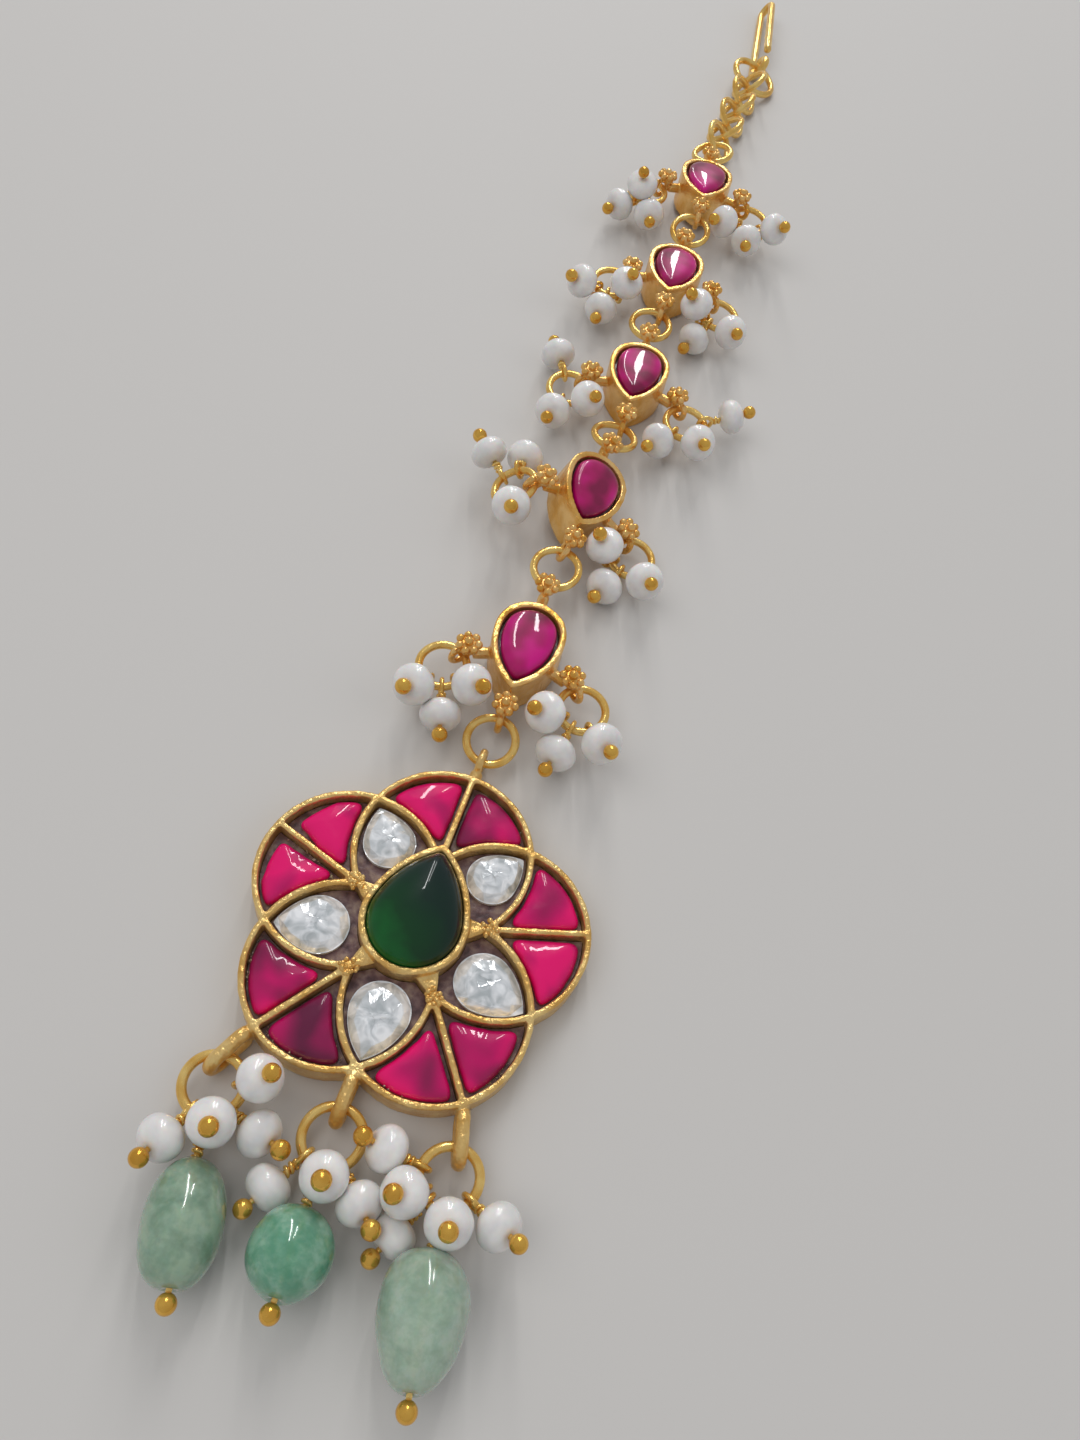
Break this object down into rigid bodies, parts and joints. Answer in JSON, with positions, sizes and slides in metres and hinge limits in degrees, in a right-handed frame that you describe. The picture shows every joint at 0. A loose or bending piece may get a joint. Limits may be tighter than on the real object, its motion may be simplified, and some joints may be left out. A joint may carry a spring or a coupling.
{
  "type": "maang tikka",
  "caption": "Kundan-style forehead jewel: flower pendant with a green cabochon, pear-shaped links with pearl clusters, green bead drops, ring chain and hook.",
  "frame": {"origin": "centre of the flower on its flat back", "axes": "+Y from the flower along the links and the chain to the hook, +Z out of the stones' faces, +X to the right of the flower seen from the front with the hook up"},
  "size_m": [0.0265, 0.173, 0.0078],
  "materials": {
    "gold": "warm yellow gold plating, satin to polished, slightly bumpy along the soldered wires",
    "lac": "dark brown-grey lac with crumbs of silvery foil",
    "ruby": "polished pink-red glass over foil",
    "polki": "clear flat-cut stone over silvery foil",
    "green_cabochon": "polished deep green glass",
    "pearl": "milky white, glossy",
    "green_bead": "tumbled cloudy green quartz, polished"
  },
  "bodies": {
    "root": {"flower_setting": "gold", "pendant_lac": "lac", "centre_stone": "green_cabochon", "polki_1": "polki", "polki_2": "polki", "polki_3": "polki", "polki_4": "polki", "polki_5": "polki", "petal_rubies_1": "ruby", "petal_rubies_2": "ruby", "petal_rubies_3": "ruby", "petal_rubies_4": "ruby", "petal_rubies_5": "ruby", "link_setting_1": "gold", "link_setting_2": "gold", "link_setting_3": "gold", "link_setting_4": "gold", "link_setting_5": "gold", "link_ruby_1": "ruby", "link_ruby_2": "ruby", "link_ruby_3": "ruby", "link_ruby_4": "ruby", "link_ruby_5": "ruby", "link_lac": "lac", "ring_1": "gold", "ring_2": "gold", "ring_3": "gold", "ring_4": "gold", "ring_5": "gold", "side_rings_1": "gold", "side_rings_2": "gold", "side_rings_3": "gold", "side_rings_4": "gold", "side_rings_5": "gold", "drop_ring_1": "gold", "drop_ring_2": "gold", "drop_ring_3": "gold", "link_pearls_1": "pearl", "link_pearls_2": "pearl", "link_pearls_3": "pearl", "link_pearls_4": "pearl", "link_pearls_5": "pearl", "drop_pearls_1": "pearl", "drop_pearls_2": "pearl", "drop_pearls_3": "pearl", "link_pins_1": "gold", "link_pins_2": "gold", "link_pins_3": "gold", "link_pins_4": "gold", "link_pins_5": "gold", "drop_pins_1": "gold", "drop_pins_2": "gold", "drop_pins_3": "gold", "green_bead_1": "green_bead", "green_bead_2": "green_bead", "green_bead_3": "green_bead", "chain": "gold", "hook": "gold"}
  },
  "joints": []
}
